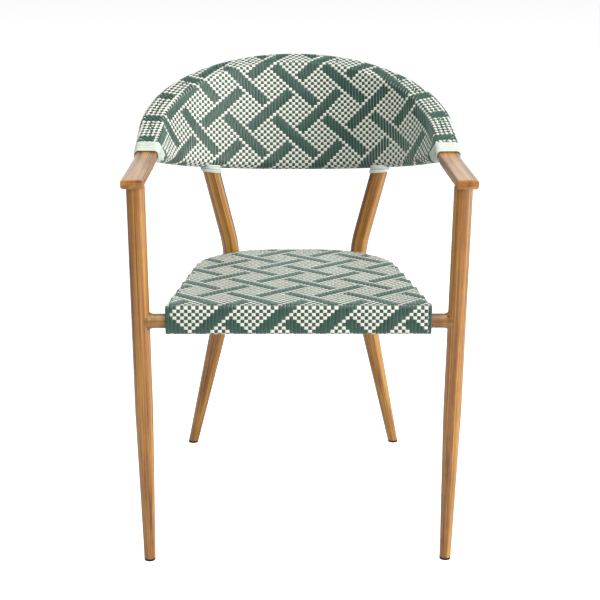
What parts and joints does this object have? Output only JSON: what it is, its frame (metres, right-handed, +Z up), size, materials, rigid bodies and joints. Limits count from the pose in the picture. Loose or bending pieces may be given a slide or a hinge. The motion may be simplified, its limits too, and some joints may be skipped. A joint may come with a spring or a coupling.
{
  "type": "bistro armchair",
  "caption": "Woven bistro armchair: a flat-oval bar forms arms and a rounded back hoop, on tapered tube legs, with a flat-strand woven seat and back.",
  "frame": {"origin": "on the floor, under the middle of the chair's bounding box", "axes": "+X to the right of someone who faces the chair's front, +Y to the back, +Z up"},
  "size_m": [0.562, 0.5638, 0.7881],
  "materials": {
    "bamboo_print": "satin",
    "bare_aluminium": "satin",
    "woven_strand": "satin",
    "white_strand": "satin",
    "black_plastic": "matte"
  },
  "bodies": {
    "root": {"arm_and_back_hoop": "bamboo_print", "left_arm_end_plate": "bamboo_print", "right_arm_end_plate": "bamboo_print", "left_front_leg": "bamboo_print", "right_front_leg": "bamboo_print", "left_rear_leg": "bamboo_print", "right_rear_leg": "bamboo_print", "left_front_stub": "bamboo_print", "right_front_stub": "bamboo_print", "left_rear_stub": "bamboo_print", "right_rear_stub": "bamboo_print", "back_lower_rail": "bare_aluminium", "seat_side_and_rear_rail": "bare_aluminium", "seat_front_rail": "bare_aluminium", "front_seat_brace": "bare_aluminium", "rear_seat_brace": "bare_aluminium", "woven_back": "woven_strand", "woven_seat": "woven_strand", "left_arm_binding": "white_strand", "right_arm_binding": "white_strand", "left_leg_binding": "white_strand", "right_leg_binding": "white_strand", "left_front_glide": "black_plastic", "right_front_glide": "black_plastic", "left_rear_glide": "black_plastic", "right_rear_glide": "black_plastic"}
  },
  "joints": []
}
